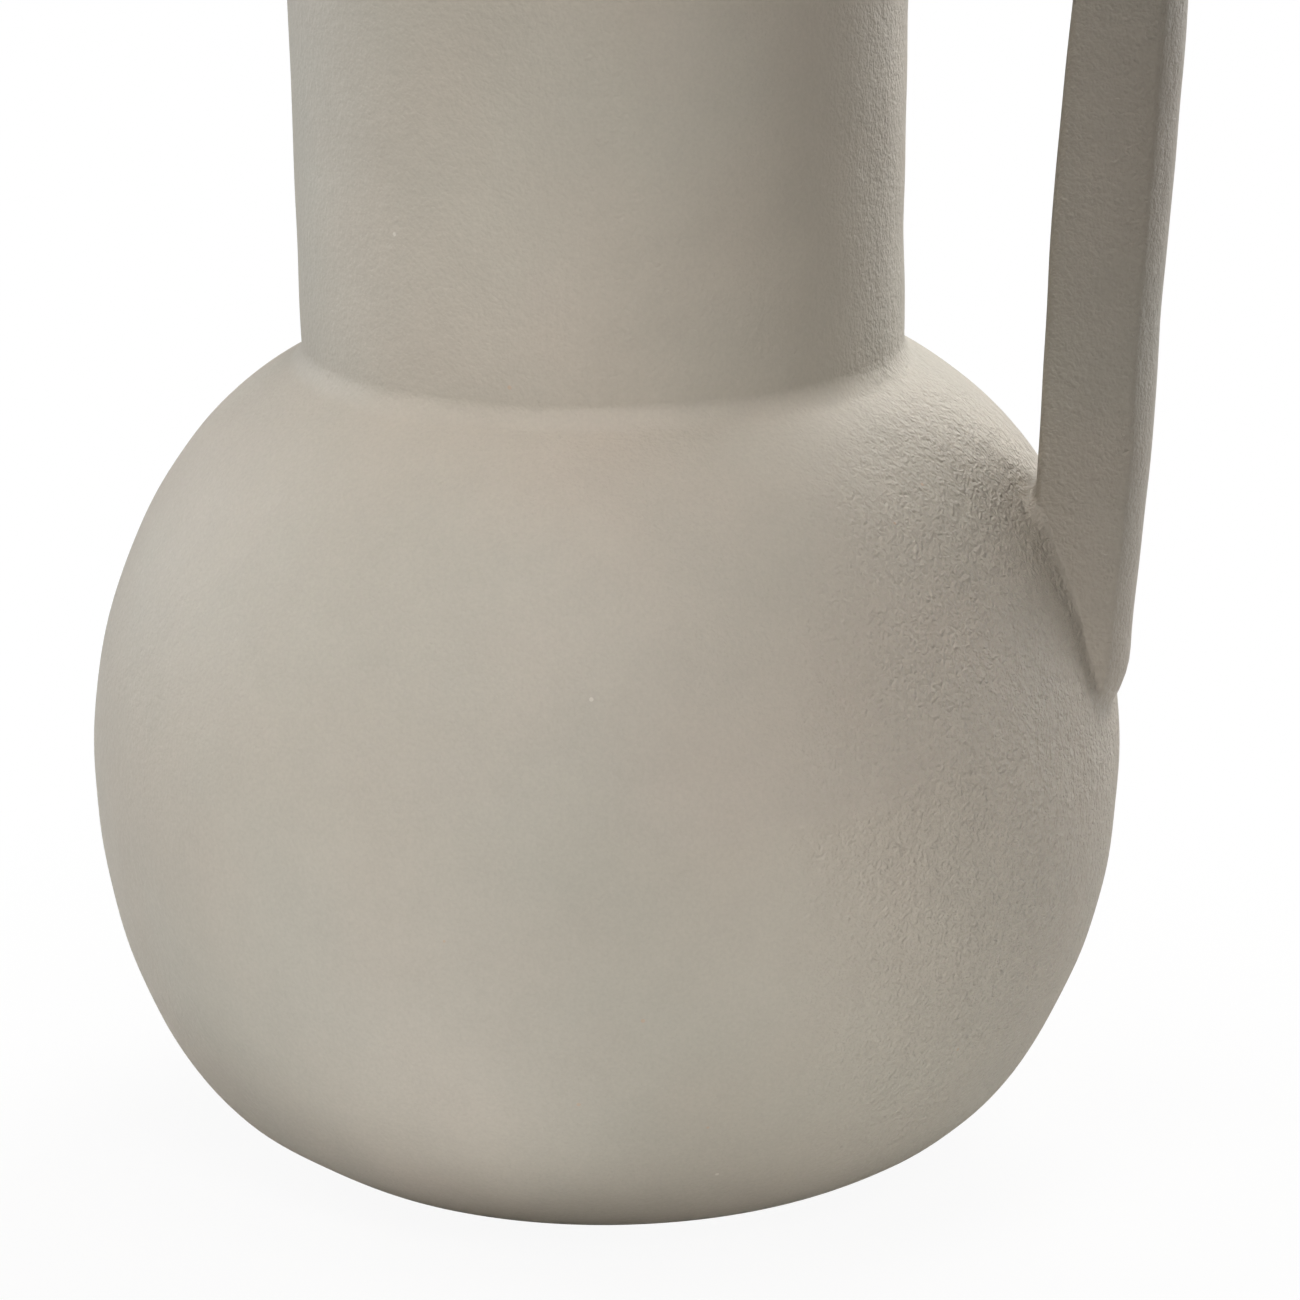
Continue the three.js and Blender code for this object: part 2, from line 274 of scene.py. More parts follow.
# Outer outline from the foot's middle over the edge and the belly to the neck's seat, then the
# inner one, a wall further in, down to the floor's middle.
def makeBelly(look, form):
    foot, seat = outline["foot"], seatIndex
    tilt = outline["tilt"][foot:seat + 1]
    side = np.stack([outline["radius"], outline["height"]], -1)[foot:seat + 1]
    edge = form["footEdge"]
    startAt = np.argmax(side[:, 1] > edge * look["edgeStart"])
    side, sideTilt = side[startAt:], tilt[startAt:]
    centre = side[0] - edge * np.array([math.cos(sideTilt[0]), math.sin(sideTilt[0])])
    rounding = arcPoints(centre, edge, -90, math.degrees(sideTilt[0]), look["edgePoints"])[:-1]
    rounding[:, 1] -= rounding[0, 1]
    standing = rounding[0, 0]
    flatRadius = standing * np.linspace(0, 1, look["footRings"] + 1)[1:]
    slope = look["footRim"] * look["rimSlope"]
    hollow = look["footHollow"] * smoothStep((standing - flatRadius - look["footRim"] + slope) / slope)
    base = np.stack([flatRadius, hollow], -1)[:-1]
    outer = evenSpacing(np.vstack([rounding, side]), look["spacing"])
    inner = np.stack([
        side[:, 0] - form["wall"] * np.cos(sideTilt),
        side[:, 1] - form["wall"] * np.sin(sideTilt),
    ], -1)
    bore = neckRadiusAt(seatHeight) - form["wall"]
    insideBore = (inner[:, 0] < bore) & (inner[:, 1] > widestHeight)
    inner = inner[(inner[:, 1] > look["floor"]) & ~insideBore]
    inner = np.vstack([[inner[0, 0], look["floor"]], inner, [bore, seatHeight]])
    inner = evenSpacing(inner, look["innerSpacing"])[::-1]
    floorRadius = np.linspace(inner[-1, 0], 0, look["floorRings"] + 2)[1:-1]
    floorRings = np.stack([floorRadius, np.full(look["floorRings"], look["floor"])], -1)
    profile = np.vstack([base, outer, inner, floorRings])
    low, high = look["evenBelow"]
    fade = smoothStep((outer[:, 1] - low) / (high - low))
    fade[-1] = 0
    uneven = np.concatenate([np.zeros(len(base)), fade, np.zeros(len(inner) + len(floorRings))])
    rings = turnProfile(profile, look["around"], uneven)
    return skinRings("belly_wall", rings, (0, 0, look["footHollow"]), (0, 0, look["floor"]))


belly = makeBelly(bellyLook, vaseForm)
print("belly:", len(belly.data.polygons), "faces")


# Neck

neckLook = {
    "spacing": 1.5 * mm,
    "boreSpacing": 3 * mm,
    "around": 360,
    "rimPoints": 15,
    "rimUneven": 0.7,                # share of the wall's unevenness that the rim has
    "rimWave": 0.35 * mm,            # how much the rim rises and falls on its way round
    # waves in a round, share of the height, start in radians
    "rimWaves": [(2, 0.6, 0.8), (3, 0.4, 2.1)],
    # the waves start this far below the rim's rounding, and grow to their height over this much
    "waveDepth": (12 * mm, 14 * mm),
}


# Straight outer wall, a fully rounded rim and the bore, closed by the flat that sits on the belly.
def makeNeck(look, form):
    lip = form["wall"] / 2
    lipHeight = neckHigh.z - look["rimWave"] - lip
    lipRadius, seatRadius = neckRadiusAt(lipHeight), neckRadiusAt(seatHeight)
    outer = evenSpacing([[seatRadius, seatHeight], [lipRadius, lipHeight]], look["spacing"])
    rim = arcPoints((lipRadius - lip, lipHeight), lip, 0, 180, look["rimPoints"])
    bore = [[lipRadius - form["wall"], lipHeight], [seatRadius - form["wall"], seatHeight]]
    bore = evenSpacing(bore, look["boreSpacing"])
    profile = np.vstack([outer, rim[1:-1], bore])
    rimUneven = np.full(len(rim) - 2, look["rimUneven"])
    uneven = np.concatenate([np.ones(len(outer)), rimUneven, np.zeros(len(bore))])
    uneven[0] = 0
    rings = turnProfile(profile, look["around"], uneven)
    below, over = look["waveDepth"]
    nearRim = smoothStep((rings[..., 2] - (lipHeight - below)) / over)
    rings[..., 2] += look["rimWave"] * nearRim * roundWaves(rings, look["rimWaves"])
    return skinRings("neck_wall", rings, loop=True)


neck = makeNeck(neckLook, vaseForm)
print("neck:", len(neck.data.polygons), "faces")


# Handle

handleLook = {
    "thickness": 20 * mm,            # towards the neck
    "width": 21 * mm,                # round the vase
    "corner": 2.2 * mm,
    "outerCrown": 1.8 * mm,          # how far the middle of the outer side bulges past its edges
    "innerCrown": 0.5 * mm,
    "flankCrown": 0.7 * mm,
    "lean": 4.3,                     # degrees outwards
    "standOut": 3.8 * mm,            # beyond the belly's widest
    "heelRise": 24 * mm,             # above the belly's widest
    "heelGap": 0.3 * mm,             # the heel turns about a point this far off the inner face
    "armDrop": 28 * mm,              # middle of the arm below the rim
    "elbow": 30 * mm,
    "sunk": 1.8 * mm,                # how far its ends reach into the walls that they join
    "bow": [(90, 0), (104, -0.35), (137, 0.7), (168, 0.2), (230, 0.2), (262, 0)],  # mm up, mm outwards
    "paintedShade": 0.865,                  # painted shade: its colour darkened against the body's for the shade that falls on the handle
    "spacing": 1.3 * mm,
    "cornerPoints": 10,
    "flatPoints": 13,
    "trials": 400,                   # places tried along the bar for where it meets a face
    "halvings": 24,
}


# Middle line of the bar by its length: arm outwards, elbow, bar down, heel, and inwards again.
# Gives the place (radius, height) and the direction away from the hand's gap there.
def barMiddle(length, look):
    lean = math.radians(look["lean"])
    heelRadius = look["thickness"] / 2 + look["heelGap"]
    barOut = np.array([math.cos(lean), -math.sin(lean)])
    heelTopRadius = vaseForm["bellyRadius"] + look["standOut"] - look["thickness"] / 2
    heelTop = np.array([heelTopRadius, widestHeight + look["heelRise"]])
    heelCentre = heelTop - heelRadius * barOut
    armHeight = neckHigh.z - look["armDrop"]
    barTopHeight = armHeight - look["elbow"] * (1 + math.sin(lean))
    barTop = np.array([heelTop[0] + (barTopHeight - heelTop[1]) * math.tan(lean), barTopHeight])
    elbowCentre = barTop - look["elbow"] * barOut
    armStart = vaseForm["neckRadius"] - 2 * vaseForm["wall"]
    armLength = elbowCentre[0] - armStart
    elbowLength = look["elbow"] * (math.pi / 2 + lean)
    barLength = np.linalg.norm(barTop - heelTop)
    heelLength = heelRadius * (math.pi / 2 - lean)
    ends = np.cumsum([armLength, elbowLength, barLength, heelLength])
    s = np.asarray(length)
    turnElbow = math.pi / 2 - np.clip((s - ends[0]) / look["elbow"], 0, math.pi / 2 + lean)
    turnHeel = -lean - np.clip((s - ends[2]) / heelRadius, 0, math.pi / 2 - lean)
    turn = np.where(s < ends[2], turnElbow, turnHeel)
    out = np.stack([np.cos(turn), np.sin(turn)], -1)
    arm = np.stack([armStart + s, np.full_like(s, armHeight)], -1)
    elbow = elbowCentre + look["elbow"] * out
    share = np.clip((s - ends[1]) / barLength, 0, 1)[..., None]
    bar = barTop + (heelTop - barTop) * share
    heel = heelCentre + heelRadius * out
    heel = heel - np.stack([np.clip(s - ends[3], 0, None), np.zeros_like(s)], -1)
    which = np.searchsorted(ends[:3], s, side="right")[..., None]
    at = np.where(which == 0, arm, np.where(which == 1, elbow, np.where(which == 2, bar, heel)))
    return at, out, ends


# The bar's section: a rectangle with rounded corners whose sides bulge. A side that is to rise by a
# crown over its chord turns by twice the arc tangent of two crowns over the chord on either side of
# its middle, and the corner arcs stop short of it by as much. Gives places and outward directions.
def barSection(look):
    corner = look["corner"]
    crowns = [look["flankCrown"], look["innerCrown"], look["flankCrown"], look["outerCrown"]]
    along = look["width"] / 2 - corner - look["flankCrown"]
    outer = look["thickness"] / 2 - corner - look["outerCrown"]
    inner = corner + look["innerCrown"] - look["thickness"] / 2
    corners = np.array([(outer, along), (inner, along), (inner, -along), (outer, -along)])
    chords = [np.linalg.norm(corners[(i + 1) % 4] - corners[i]) for i in range(4)]
    turns = [2 * math.atan(2 * crown / chord) for crown, chord in zip(crowns, chords)]
    places, outs = [], []
    for i in range(4):
        facing = (i + 1) * math.pi / 2
        turn = np.linspace(i * math.pi / 2 + turns[i - 1], facing - turns[i], look["cornerPoints"])
        cornerOut = np.stack([np.cos(turn), np.sin(turn)], -1)
        bend = facing + np.linspace(-turns[i], turns[i], look["flatPoints"] + 2)[1:-1]
        sideOut = np.stack([np.cos(bend), np.sin(bend)], -1)
        middle = (corners[i] + corners[(i + 1) % 4]) / 2
        straightOut = np.array([math.cos(facing), math.sin(facing)])
        arcMiddle = middle - chords[i] / 2 / math.tan(turns[i]) * straightOut
        arcRadius = chords[i] / 2 / math.sin(turns[i]) + corner
        places += [corners[i] + corner * cornerOut, arcMiddle + arcRadius * sideOut]
        outs += [cornerOut, sideOut]
    return np.vstack(places), np.vstack(outs)


sectionPlace, sectionOut = barSection(handleLook)


# How far the bar was bent outwards by hand at a height, eased from one stated height to the next.
def handBow(height, look):
    knots = np.array(look["bow"]) * mm
    i = np.clip(np.searchsorted(knots[:, 0], height, side="right") - 1, 0, len(knots) - 2)
    share = smoothStep((height - knots[i, 0]) / (knots[i + 1, 0] - knots[i, 0]))
    return knots[i, 1] + (knots[i + 1, 1] - knots[i, 1]) * share


# Points of the bar's skin for section points and lengths along the middle line.
def barSkin(length, place, look):
    at, out, _ = barMiddle(length, look)
    across, along = place[..., 0], place[..., 1]
    radius, height = at[..., 0] + across * out[..., 0], at[..., 1] + across * out[..., 1]
    radius = radius + handBow(height, look)
    return np.stack([radius, np.broadcast_to(along, radius.shape), height], -1)


# The outward direction of the bar's skin at each section point, from the middle line's out.
def skinOut(out):
    along = np.broadcast_to(sectionOut[:, 1], out.shape[:-1])
    return np.stack([sectionOut[:, 0] * out[..., 0], along, sectionOut[:, 0] * out[..., 1]], -1)


# The length at which each line along the bar meets a face sunk to a depth: the first of many trial
# lengths that is inside the face, and then halving between it and the one before.
def meetFace(face, clearLength, insideLength, depth, look):
    clear = np.full(len(sectionPlace), clearLength)
    inside = np.full(len(sectionPlace), insideLength)
    steps = np.linspace(0, 1, look["trials"])
    trial = clear[:, None] + (inside - clear)[:, None] * steps
    gaps = face(barSkin(trial, sectionPlace[:, None], look))[0] + depth
    first = np.argmax(gaps < 0, axis=1)
    low = clear + (inside - clear) * steps[first - 1]
    high = clear + (inside - clear) * steps[first]
    for _ in range(look["halvings"]):
        middle = (low + high) / 2
        gap = face(barSkin(middle, sectionPlace, look))[0] + depth
        low, high = np.where(gap > 0, middle, low), np.where(gap > 0, high, middle)
    return low


def makeHandle(look):
    _, _, ends = barMiddle(np.zeros(1), look)
    barMid = (ends[1] + ends[2]) / 2
    start = meetFace(neckFace, ends[0], 0, look["sunk"], look)
    end = meetFace(bellyFace, barMid, ends[3] + look["thickness"], look["sunk"], look)
    rows = int(ends[3] / look["spacing"])
    length = start + (end - start) * np.linspace(0, 1, rows)[:, None]
    rings = barSkin(length, sectionPlace, look)
    _, out, _ = barMiddle(length, look)
    rings = rings + handWaves(rings)[..., None] * skinOut(out)
    poles = []
    for ring, face in ((rings[0], neckFace), (rings[-1], bellyFace)):
        middle = ring.mean(0)[None]
        gap, direction = face(middle)
        poles.append((middle - (gap + look["sunk"])[:, None] * direction)[0])
    return skinRings("handle_bar", rings, poles[0], poles[1], flip=True)


handle = makeHandle(handleLook)
print("handle:", len(handle.data.polygons), "faces")


# Clay

clayLook = {
    "warm": (0.452, 0.402, 0.335, 1),
    "cool": (0.436, 0.404, 0.339, 1),
    # noises: cells per metre, detail and roughness
    "clouds": (16, 3, 0.5),
    "grain": (1400, 2, 0.6),
    "peel": (460, 2, 0.55),          # like orange peel
    "mottle": (92, 3, 0.6),
    "curl": (800, 1, 0.5),           # shallow curly creases
    "footWobble": (60, 2, 0.5),
    # the part of a noise's range that is used
    "cloudSpan": (0.35, 0.65),
    "span": (0.3, 0.7),
    "grainContrast": 0.03,
    "mottleContrast": 0.02,
    "roughness": 0.62,
    "roughnessSpread": 0.06,
    "specular": 0.5,
    "grainHeight": 0.22 * mm,
    "peelHeight": 0.55 * mm,
    "curlHeight": 0.5 * mm,          # heights are of the whole noise, from 0 to 1
    "ramp": (48 * mm, 84 * mm),      # from and to this far towards the handle the relief grows
    "rampRelief": (0.36, 2.7),       # the relief's strength at either end of it
    "handleRelief": 0.8,
    "speckCellsPerMetre": 340,
    "speckRadius": 0.13,             # in cells
    # pale and rusty specks: a cell has one where its chance is over the first number; then how
    # strongly it shows, and its colour
    "specks": [(0.994, 0.45, (0.7, 0.67, 0.6, 1)), (0.992, 0.35, (0.55, 0.33, 0.2, 1))],
    "rawFoot": (0.5, 0.46, 0.39, 1),
    "rawHeights": (0.9 * mm, 1.3 * mm),  # between these the bare foot gives way to the slip
    "rawWobble": 0.5 * mm,
}


# Slip seams

seamLook = {
    "handleLegs": (5.5 * mm, 4 * mm, 2.5 * mm),  # reach on the gap's side, the flanks, the outer side
    "creasePaintedShade": 0.1,                     # painted shade: how much darker the slip is painted in the crease
    "neckLeg": 3.2 * mm,
    "neckAround": 360,
    "pull": 0.5,                     # how closely the hollow follows the crease
    "across": 12,
    "probe": 0.1 * mm,               # length over which the bar's own bending is measured
    "leastStep": 0.3,                # the bending counts as no less than this
    "tails": [(0.7 * mm, 0.02 * mm), (1.5 * mm, 0.14 * mm)],  # feathered edge: how far on, how deep
    "sunk": 0.6 * mm,                # how far its hidden back lies under the clay
}


# A hollow strip in a crease: a cubic from the first edge to the second, drawn towards the crease.
# Each edge runs straight on into the clay at a shallow slope, and a hidden back closes the strip.
def hollowStrip(first, crease, second, firstNormal, secondNormal, look):
    u = np.linspace(0, 1, look["across"])[None, :, None]
    a, b = first[:, None], second[:, None]
    c1 = a + look["pull"] * (crease - first)[:, None]
    c2 = b + look["pull"] * (crease - second)[:, None]
    hollow = (1 - u) ** 3 * a + 3 * u * (1 - u) ** 2 * c1 + 3 * u ** 2 * (1 - u) * c2 + u ** 3 * b
    normal = unit(firstNormal[:, None] * (1 - u) + secondNormal[:, None] * u)
    on, deep = np.array(look["tails"]).T[:, None, :, None]
    tailA = a + on * unit(first - crease)[:, None] - deep * firstNormal[:, None]
    tailB = b + on * unit(second - crease)[:, None] - deep * secondNormal[:, None]
    skin = np.concatenate([tailA[:, ::-1], hollow, tailB], 1)
    ends = [np.repeat(n[:, None], len(look["tails"]), 1) for n in (firstNormal, secondNormal)]
    skinNormal = np.concatenate([ends[0], normal, ends[1]], 1)
    skin = skin + handWaves(skin)[..., None] * skinNormal
    back = np.stack([
        skin[:, -1] - look["sunk"] * secondNormal,
        crease - look["sunk"] * (firstNormal + secondNormal),
        skin[:, 0] - look["sunk"] * firstNormal,
    ], 1)
    return np.concatenate([skin, back], 1)


# The slip round one end of the handle, a hollow strip from the bar to the face of the wall. Its
# painted shade goes from the handle's painted shade on the bar to none on the wall, less a parabola that
# is highest in the middle, a painted shade in the crease, and its "relief" goes from the handle's to the
# body's.
def handleSeam(name, face, clearLength, insideLength, sign, flip, look, bar):
    crease = meetFace(face, clearLength, insideLength, 0, bar)
    creasePoint = barSkin(crease, sectionPlace, bar)
    across = sectionPlace[:, 0] / (bar["thickness"] / 2)  # 1 on the outer side, -1 on the inner side
    legInside, legFlank, legOutside = look["handleLegs"]
    legSide = np.where(across < 0, legInside, legOutside)
    leg = legFlank + (legSide - legFlank) * smoothStep(np.abs(across))
    _, out, _ = barMiddle(crease, bar)
    # the middle line is longer or shorter than the line itself where the bar is bent
    nearby = barSkin(crease - sign * look["probe"], sectionPlace, bar)
    step = np.linalg.norm(nearby - creasePoint, axis=1) / look["probe"]
    onBar = barSkin(crease - sign * leg / np.maximum(step, look["leastStep"]), sectionPlace, bar)
    outward = skinOut(out)
    _, normal = face(creasePoint)
    slide = unit(outward - (outward * normal).sum(1)[:, None] * normal)
    onFace = creasePoint + slide * leg[:, None]
    gap, faceNormal = face(onFace)
    onFace = onFace - gap[:, None] * faceNormal
    rings = hollowStrip(onBar, creasePoint, onFace, outward, faceNormal, look)
    seam = skinRings(name, rings, loop=True, flip=flip)
    # how far across each point of a ring lies: the first tail, the hollow, the second tail, the back
    tails = len(look["tails"])
    hollow = np.linspace(0, 1, look["across"])
    shares = np.concatenate([np.zeros(tails), hollow, np.ones(tails), [1, 0.5, 0]])
    # painted shade: the handle's darkening fades out towards the wall, and a painted crease shade is
    # deepest in the strip's middle
    seamPaintedShade = bar["paintedShade"] + (1 - bar["paintedShade"]) * smoothStep(shares) - look["creasePaintedShade"] * 4 * shares * (1 - shares)
    wall = np.interp(rings[..., 0], clayLook["ramp"], clayLook["rampRelief"])
    relief = clayLook["handleRelief"] + (wall - clayLook["handleRelief"]) * smoothStep(shares)
    for label, values in (("seamPaintedShade", np.tile(seamPaintedShade, len(rings))), ("relief", relief.ravel())):
        attribute = seam.data.attributes.new(label, "FLOAT", "POINT")
        attribute.data.foreach_set("value", values)
    return seam


def makeHandleSeams(look, bar):
    _, _, ends = barMiddle(np.zeros(1), bar)
    barMid = (ends[1] + ends[2]) / 2
    heelEnd = ends[3] + bar["thickness"]
    lower = handleSeam("handle_foot_slip", bellyFace, barMid, heelEnd, 1, False, look, bar)
    upper = handleSeam("handle_arm_slip", neckFace, ends[0], 0, -1, True, look, bar)
    return lower, upper


# The slip round the neck's base, the same strip turned round the axis.
def makeNeckSeam(look, form):
    around, leg = look["neckAround"], look["neckLeg"]
    angle = np.linspace(0, 2 * math.pi, around, endpoint=False)
    shoulderRadius = form["arcs"][-1][1]
    foot = seatIndex - int(leg / shoulderRadius / (outline["tilt"][1] - outline["tilt"][0]))
    crease = (form["neckRadius"], seatHeight)
    onBelly = (outline["radius"][foot], outline["height"][foot])
    onNeck = (neckRadiusAt(seatHeight + leg), seatHeight + leg)

    def ringOf(point):
        return np.stack([point[0] * np.cos(angle), point[0] * np.sin(angle), np.full(around, point[1])], -1)

    footTilt = outline["tilt"][foot]
    bellyOut = ringOf((math.cos(footTilt), math.sin(footTilt)))
    neckOut = ringOf((1, 0))
    rings = hollowStrip(ringOf(onNeck), ringOf(crease), ringOf(onBelly), neckOut, bellyOut, look)
    return skinRings("neck_slip", rings, loop=True)


lowerSeam, upperSeam = makeHandleSeams(seamLook, handleLook)
neckSeam = makeNeckSeam(seamLook, vaseForm)
print("slip seams:", [len(o.data.polygons) for o in (neckSeam, lowerSeam, upperSeam)])


# Glaze inside

glazeLook = {
    "offWall": 0.3 * mm,
    "thickness": 0.5 * mm,
    "floorStart": 2 * mm,            # from the axis
    "edgeWave": 0.9 * mm,            # how far its upper edge rises and falls on its way round
    "edgeWaves": [(3, 0.45, 0.5), (7, 0.3, 1.9), (17, 0.25, 0)],  # as the rim's waves
    "waveDepth": 10 * mm,
    "spacing": 2.5 * mm,
    "around": 280,
    "light": (0.4, 0.365, 0.31, 1),
    "dark": (0.36, 0.34, 0.29, 1),
    "pools": (40, 3, 0.5),           # noises: cells per metre, detail and roughness
    "poolSpan": (0.35, 0.65),
    "ripple": (120, 2, 0.5),
    "rippleHeight": 0.12 * mm,
    "roughness": (0.28, 0.36),
}


# A thin shell that follows the inside of belly and neck: the walls' outline set in by a wall and a
# gap, out along the floor, up the belly and the neck, and back a thickness further in.
def makeGlaze(look, form):
    bore = form["neckRadius"] - form["wall"]
    top = glazeHigh.z - look["edgeWave"]

    def side(inset):
        upTo = slice(outline["foot"], seatIndex + 1)
        tilt = outline["tilt"][upTo]
        wall = form["wall"] + inset
        radius = outline["radius"][upTo] - wall * np.cos(tilt)
        height = outline["height"][upTo] - wall * np.sin(tilt)
        floor = bellyLook["floor"] + inset
        keep = (height > floor) & ~((radius < bore - inset) & (height > widestHeight))
        path = np.stack([radius, height], -1)[keep]
        neckPath = [[bore - inset, seatHeight], [neckRadiusAt(top) - form["wall"] - inset, top]]
        floorPath = [[look["floorStart"], floor], [path[0, 0], floor]]
        return evenSpacing(np.vstack([floorPath, path, neckPath]), look["spacing"])

    outer = side(look["offWall"])
    inner = side(look["offWall"] + look["thickness"])[::-1]
    profile = np.vstack([outer, inner])
    rings = turnProfile(profile, look["around"])
    nearEdge = smoothStep((rings[..., 2] - (top - look["waveDepth"])) / look["waveDepth"])
    rings[..., 2] += look["edgeWave"] * nearEdge * roundWaves(rings, look["edgeWaves"])
    floorHeight = bellyLook["floor"] + look["offWall"]
    return skinRings("glaze_inside", rings, (0, 0, floorHeight), (0, 0, floorHeight + look["thickness"]))


glaze = makeGlaze(glazeLook, vaseForm)
print("glaze:", len(glaze.data.polygons), "faces")


# Materials

def addNode(tree, kind, settings=None, **links):
    node = tree.nodes.new(kind)
    for key, value in (settings or {}).items():
        if key in node.inputs:
            node.inputs[key].default_value = value
        else:
            setattr(node, key, value)
    for key, source in links.items():
        tree.links.new(source, node.inputs[key.replace("_", " ")])
    return node


def noiseAt(tree, coords, perMetre, detail, roughness):
    settings = {"Scale": perMetre, "Detail": detail, "Roughness": roughness}
    return addNode(tree, "ShaderNodeTexNoise", settings, Vector=coords).outputs["Fac"]


def remap(tree, value, low, high, toLow, toHigh):
    settings = {"From Min": low, "From Max": high, "To Min": toLow, "To Max": toHigh}
    return addNode(tree, "ShaderNodeMapRange", settings, Value=value).outputs["Result"]


def mixColour(tree, fac, first, second, how="MIX"):
    node = tree.nodes.new("ShaderNodeMix")
    node.data_type = "RGBA"
    node.blend_type = how
    for socket, value in ((node.inputs[0], fac), (node.inputs[6], first), (node.inputs[7], second)):
        if hasattr(value, "is_output"):
            tree.links.new(value, socket)
        else:
            socket.default_value = value
    return node.outputs[2]


def combine(tree, how, first, second):
    node = tree.nodes.new("ShaderNodeMath")
    node.operation = how
    for socket, value in zip(node.inputs, (first, second)):
        if hasattr(value, "is_output"):
            tree.links.new(value, socket)
        else:
            socket.default_value = value
    return node.outputs[0]


# A new material, its node tree, its shader and the piece's own coordinates.
def startMaterial(name):
    material = bpy.data.materials.new(name)
    material.use_nodes = True
    tree = material.node_tree
    coords = tree.nodes.new("ShaderNodeTexCoord").outputs["Object"]
    return material, tree, tree.nodes["Principled BSDF"], coords


# A height in metres as the shader's relief.
def raiseSkin(tree, shader, height):
    bump = addNode(tree, "ShaderNodeBump", {"Strength": 1.0, "Distance": 1.0}, Height=height)
    tree.links.new(bump.outputs["Normal"], shader.inputs["Normal"])


# Matte slip-glazed stoneware: warm and cool clouds, a fine grain in colour and height, an orange
# peel a few grains wide with curly creases, rare pale and rusty specks, and bare clay under the foot.
# A painted shade below one darkens the whole colour. A toned piece multiplies its colour by a painted
# shade attribute of its own, and its relief by a relief attribute of its own. Without a relief the
# height grows along X towards the handle.
def clayMaterial(name, look, paintedShade=1.0, relief=None, bareFoot=False, toned=False):
    material, tree, shader, coords = startMaterial(name)
    clouds = remap(tree, noiseAt(tree, coords, *look["clouds"]), *look["cloudSpan"], 0, 1)
    grain, peel, mottle, curl = [
        noiseAt(tree, coords, *look[noise]) for noise in ("grain", "peel", "mottle", "curl")
    ]
    colour = mixColour(tree, clouds, look["warm"], look["cool"])
    contrast, mottled = look["grainContrast"], look["mottleContrast"]
    # painted shade: the grain's brightness is centred on the painted shade, not on the clay's own colour
    value = combine(tree, "ADD", remap(tree, grain, *look["span"], paintedShade - contrast, paintedShade + contrast),
                    remap(tree, mottle, *look["span"], -mottled, mottled))
    if toned:
        # painted shade of the handle and its crease, read from the piece's attribute
        seamPaintedShade = addNode(tree, "ShaderNodeAttribute", {"attribute_name": "seamPaintedShade"}).outputs["Fac"]
        value = combine(tree, "MULTIPLY", value, seamPaintedShade)
    tint = addNode(tree, "ShaderNodeCombineColor", {}, Red=value, Green=value, Blue=value).outputs[0]
    colour = mixColour(tree, 1.0, colour, tint, "MULTIPLY")
    speckCells = addNode(tree, "ShaderNodeTexVoronoi", {"Scale": look["speckCellsPerMetre"]}, Vector=coords)
    chances = addNode(tree, "ShaderNodeSeparateColor", {}, Color=speckCells.outputs["Color"]).outputs
    inSpeck = combine(tree, "LESS_THAN", speckCells.outputs["Distance"], look["speckRadius"])
    for chance, (over, strength, tinge) in zip(chances, look["specks"]):
        speck = combine(tree, "MULTIPLY", inSpeck, combine(tree, "GREATER_THAN", chance, over))
        colour = mixColour(tree, combine(tree, "MULTIPLY", speck, strength), colour, tinge)
    if bareFoot:
        height = addNode(tree, "ShaderNodeSeparateXYZ", {}, Vector=coords).outputs["Z"]
        wobble = noiseAt(tree, coords, *look["footWobble"])
        wobble = remap(tree, wobble, *look["span"], -look["rawWobble"], look["rawWobble"])
        bare = remap(tree, combine(tree, "ADD", height, wobble), *look["rawHeights"], 1, 0)
        colour = mixColour(tree, bare, colour, look["rawFoot"])
    tree.links.new(colour, shader.inputs["Base Color"])
    rough, spread = look["roughness"], look["roughnessSpread"]
    roughness = remap(tree, grain, *look["span"], rough + spread, rough - spread)
    tree.links.new(roughness, shader.inputs["Roughness"])
    shader.inputs["Specular IOR Level"].default_value = look["specular"]
    # the curls' creases lie where their noise crosses its middle value
    curl = combine(tree, "ABSOLUTE", combine(tree, "SUBTRACT", curl, 0.5), 0)
    skin = combine(tree, "ADD", combine(tree, "MULTIPLY", grain, look["grainHeight"]),
                   combine(tree, "MULTIPLY", peel, look["peelHeight"]))
    skin = combine(tree, "ADD", skin, combine(tree, "MULTIPLY", curl, look["curlHeight"]))
    if toned:
        relief = addNode(tree, "ShaderNodeAttribute", {"attribute_name": "relief"}).outputs["Fac"]
    elif relief is None:
        aside = addNode(tree, "ShaderNodeSeparateXYZ", {}, Vector=coords).outputs["X"]
        relief = remap(tree, aside, *look["ramp"], *look["rampRelief"])
    raiseSkin(tree, shader, combine(tree, "MULTIPLY", skin, relief))
    return material


# Satin glaze: lighter and darker pools, rougher where they are dark, and a faint ripple.
def glazeMaterial(name, look):
    material, tree, shader, coords = startMaterial(name)
    pools = remap(tree, noiseAt(tree, coords, *look["pools"]), *look["poolSpan"], 0, 1)
    tree.links.new(mixColour(tree, pools, look["light"], look["dark"]), shader.inputs["Base Color"])
    tree.links.new(remap(tree, pools, 0, 1, *look["roughness"]), shader.inputs["Roughness"])
    ripple = noiseAt(tree, coords, *look["ripple"])
    raiseSkin(tree, shader, combine(tree, "MULTIPLY", ripple, look["rippleHeight"]))
    return material


clay = clayMaterial("matte_clay", clayLook)
footClay = clayMaterial("matte_clay_bare_foot", clayLook, bareFoot=True)
